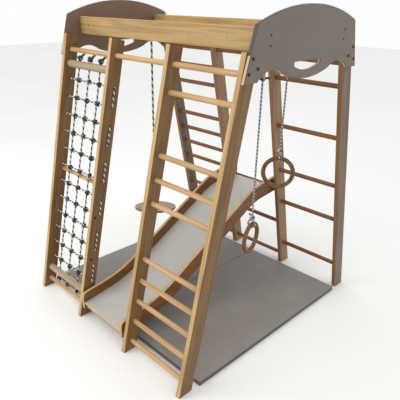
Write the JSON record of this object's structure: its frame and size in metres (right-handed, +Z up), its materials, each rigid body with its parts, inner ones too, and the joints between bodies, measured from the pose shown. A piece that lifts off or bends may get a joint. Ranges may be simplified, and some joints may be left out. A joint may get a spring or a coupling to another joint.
{
  "type": "indoor climbing frame with slide",
  "caption": "Wooden toddler climbing frame with a slide, ladders, a rope net, overhead rungs, a disc swing, gymnastic rings and floor mats.",
  "frame": {"origin": "centre of the frame's footprint, on the floor", "axes": "+Z up, X along the two top beams, -Y is the side the slide comes down to"},
  "size_m": [1.1694, 1.272, 1.452],
  "materials": {
    "pine": "satin",
    "painted_panel": "satin",
    "grey_bar": "satin",
    "chute_sheet": "gloss",
    "disc_wood": "satin",
    "ring_wood": "satin",
    "rope": "matte",
    "mat_cover": "satin",
    "steel": "satin"
  },
  "bodies": {
    "frame": {"beam_screws": "steel", "front_beam": "pine", "front_middle_rungs": "pine", "front_post_inner_left": "pine", "front_post_inner_right": "pine", "front_post_left": "pine", "front_post_right": "pine", "ladder_rungs": "pine", "left_end_panel": "painted_panel", "net_back_rung": "pine", "net_holders": "grey_bar", "net_knots": "rope", "net_lacing": "rope", "net_rungs": "pine", "net_stop_knots": "rope", "net_uprights": "rope", "overhead_rungs": "pine", "panel_bolts": "steel", "panel_nuts": "steel", "rear_beam": "pine", "rear_middle_rungs": "pine", "rear_post_inner_left": "pine", "rear_post_inner_right": "pine", "rear_post_left": "pine", "rear_post_right": "pine", "rear_right_rungs": "pine", "right_end_panel": "painted_panel", "rung_screws": "steel", "side_screws": "steel", "wall_bars": "pine"},
    "slide": {"slide_rail_left": "pine", "slide_rail_right": "pine", "slide_chute": "chute_sheet"},
    "mat_left": {"mat_left": "mat_cover"},
    "mat_right": {"mat_right": "mat_cover"},
    "swing_loop": {"swing_loop": "rope", "swing_top_knot": "rope"},
    "swing_rope": {"swing_rope": "rope", "swing_low_knot": "rope"},
    "swing_disc": {"swing_disc": "disc_wood"},
    "low_ring_loop": {"low_ring_long_loop": "rope", "low_ring_top_knot": "rope"},
    "low_ring_rope": {"low_ring_rope": "rope"},
    "low_ring": {"low_ring_low_knot": "rope", "low_ring_small_loop": "rope", "low_ring": "ring_wood"},
    "high_ring_loop": {"high_ring_long_loop": "rope", "high_ring_top_knot": "rope"},
    "high_ring_rope": {"high_ring_rope": "rope"},
    "high_ring": {"high_ring_low_knot": "rope", "high_ring_small_loop": "rope", "high_ring": "ring_wood"}
  },
  "joints": [
    {"name": "swing_sideways", "type": "hinge", "parent": "frame", "child": "swing_loop", "pos_m": [-0.2964, -0.022, 1.341], "axis": [0, 1, 0], "range_deg": [-0.8, 30]},
    {"name": "swing_fore_aft", "type": "hinge", "parent": "swing_loop", "child": "swing_rope", "pos_m": [-0.2964, -0.022, 1.2995], "axis": [1, 0, 0], "range_deg": [-20, 20]},
    {"name": "disc_spin", "type": "hinge", "parent": "swing_rope", "child": "swing_disc", "pos_m": [-0.2964, -0.022, 0.388], "axis": [0, 0, 1], "continuous": true},
    {"name": "low_ring_sideways", "type": "hinge", "parent": "frame", "child": "low_ring_loop", "pos_m": [0.3952, -0.02, 1.341], "axis": [0, 1, 0], "range_deg": [-30, 10]},
    {"name": "low_ring_fore_aft", "type": "hinge", "parent": "low_ring_loop", "child": "low_ring_rope", "pos_m": [0.3952, -0.02, 1.1685], "axis": [1, 0, 0], "range_deg": [-20, 5]},
    {"name": "low_ring_spin", "type": "hinge", "parent": "low_ring_rope", "child": "low_ring", "pos_m": [0.3952, -0.02, 0.457], "axis": [0, 0, 1], "continuous": true},
    {"name": "high_ring_sideways", "type": "hinge", "parent": "frame", "child": "high_ring_loop", "pos_m": [0.3952, 0.148, 1.341], "axis": [0, 1, 0], "range_deg": [-30, 30]},
    {"name": "high_ring_fore_aft", "type": "hinge", "parent": "high_ring_loop", "child": "high_ring_rope", "pos_m": [0.3952, 0.148, 1.1685], "axis": [1, 0, 0], "range_deg": [-5, 20]},
    {"name": "high_ring_spin", "type": "hinge", "parent": "high_ring_rope", "child": "high_ring", "pos_m": [0.3952, 0.148, 0.738], "axis": [0, 0, 1], "continuous": true},
    {"name": "slide_lift", "type": "hinge", "parent": "frame", "child": "slide", "pos_m": [0, 0.48585, 0.505], "axis": [-1, 0, 0], "range_deg": [0, 20]},
    {"name": "mat_left_out", "type": "slide", "parent": "frame", "child": "mat_left", "axis": [-1, 0, 0], "range_m": [0, 0.5]},
    {"name": "mat_right_out", "type": "slide", "parent": "frame", "child": "mat_right", "axis": [1, 0, 0], "range_m": [0, 0.5]}
  ]
}
